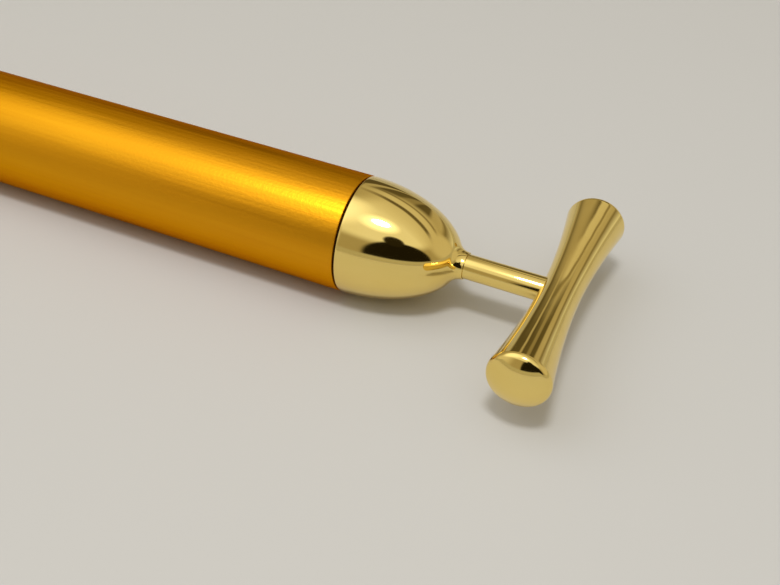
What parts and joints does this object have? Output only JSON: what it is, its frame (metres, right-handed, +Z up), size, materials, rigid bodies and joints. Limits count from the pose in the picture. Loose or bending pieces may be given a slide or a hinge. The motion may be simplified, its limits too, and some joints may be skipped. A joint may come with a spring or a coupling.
{
  "type": "t-bar facial massager",
  "caption": "Slim battery handle with a polished bell-shaped head whose thin stem carries a dog-bone cross bar; the head twists to switch a vibration motor.",
  "frame": {"origin": "bottom centre of the bounding box, on the surface that the handle lies on", "axes": "+X along the handle towards the head, +Y along the cross bar, +Z up from the surface"},
  "size_m": [0.158, 0.0388, 0.0169],
  "materials": {
    "anodised_handle": "satin, finely brushed, orange-gold anodised",
    "gold_plating": "mirror polished, pale gold plated",
    "tail_plating": "mirror polished, pale gold plated aluminium",
    "spring_steel": "drawn, nickel plated",
    "nickel_plating": "satin nickel plate",
    "cell_jacket": "shrunk film, gloss",
    "cell_filling": "dark pressed powder",
    "white_nylon": "moulded, satin",
    "black_plastic": "moulded, satin",
    "black_rubber": "moulded, matte",
    "contact_brass": "rolled, bright",
    "weight_brass": "sintered, satin",
    "motor_steel": "drawn, zinc plated",
    "ferrite": "sintered, dark grey",
    "core_steel": "stacked laminations",
    "copper_wire": "enamelled copper",
    "bronze": "sintered bronze",
    "red_insulation": "extruded",
    "black_insulation": "extruded",
    "phenolic": "moulded"
  },
  "bodies": {
    "handle": {"handle_tube": "anodised_handle", "tail_cap": "tail_plating", "tail_spring": "spring_steel"},
    "battery": {"battery_can": "nickel_plating", "battery_jacket": "cell_jacket", "battery_core": "cell_filling", "battery_seal": "white_nylon", "battery_negative_cap": "nickel_plating"},
    "head": {"t_bar": "gold_plating", "neck_stem": "gold_plating", "head_dome": "gold_plating", "thread_plug": "black_plastic", "head_o_ring": "black_rubber", "contact_ring": "contact_brass", "contact_strip": "contact_brass", "motor_cup": "black_plastic", "contact_button": "contact_brass", "lead_red": "red_insulation", "lead_black": "black_insulation", "motor_can": "motor_steel", "magnet_left": "ferrite", "magnet_right": "ferrite", "motor_end_bell": "white_nylon", "front_bush": "bronze", "rear_bush": "bronze", "brush_left": "contact_brass", "brush_right": "contact_brass", "terminal_left": "contact_brass", "terminal_right": "contact_brass"},
    "rotor": {"motor_shaft": "spring_steel", "armature_core": "core_steel", "winding_1": "copper_wire", "winding_2": "copper_wire", "winding_3": "copper_wire", "commutator_hub": "phenolic", "commutator_segment_1": "copper_wire", "commutator_segment_2": "copper_wire", "commutator_segment_3": "copper_wire", "thrust_washer_front": "white_nylon", "thrust_washer_rear": "white_nylon", "eccentric_weight": "weight_brass"}
  },
  "joints": [
    {"name": "battery_slide", "type": "slide", "parent": "handle", "child": "battery", "axis": [1, 0, 0], "range_m": [-0.00025, 0.00375], "deforming": ["tail_spring"]},
    {"name": "head_twist", "type": "hinge", "parent": "battery", "child": "head", "pos_m": [0.0452, 0, 0.00847], "axis": [1, 0, 0], "range_deg": [-90.5, 1350.5]},
    {"name": "motor_spin", "type": "hinge", "parent": "head", "child": "rotor", "pos_m": [0.0452, 0, 0.00847], "axis": [1, 0, 0], "continuous": true}
  ],
  "couplings": [
    {"joint": "head_twist", "follows": "battery_slide", "rad_per_m": 6283.2}
  ]
}
